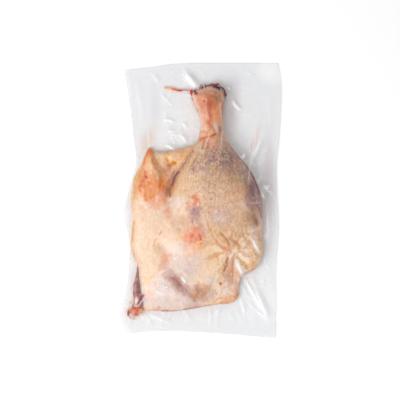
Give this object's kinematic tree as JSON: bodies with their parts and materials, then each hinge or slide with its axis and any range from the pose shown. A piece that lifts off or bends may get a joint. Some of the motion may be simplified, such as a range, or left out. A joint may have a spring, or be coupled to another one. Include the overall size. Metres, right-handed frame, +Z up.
{
  "type": "vacuum-packed raw duck leg",
  "caption": "Raw duck leg with its skin on, sealed in a clear vacuum pouch that lies flat on a table, skin side up; the tight film follows the form of the meat.",
  "frame": {"origin": "on the table, under the middle of the pouch's outline", "axes": "+Y towards the hock joint end of the leg, +X to the right seen from above with the skin side up, +Z up"},
  "size_m": [0.154, 0.262, 0.036],
  "materials": {
    "film_over_skin": "raw duck skin seen through tight clear film: cream, yellow and pink, glossy",
    "duck_skin": "raw duck skin: cream and yellow with grey feather follicles, pink bruises and an orange folded corner, moist",
    "lean_meat": "raw lean duck meat, dark red to purple, moist",
    "clear_film": "clear soft plastic film, glossy, slightly hazy where it is welded or creased"
  },
  "bodies": {
    "root": {"vacuum_pouch": "film_over_skin"}
  },
  "joints": []
}
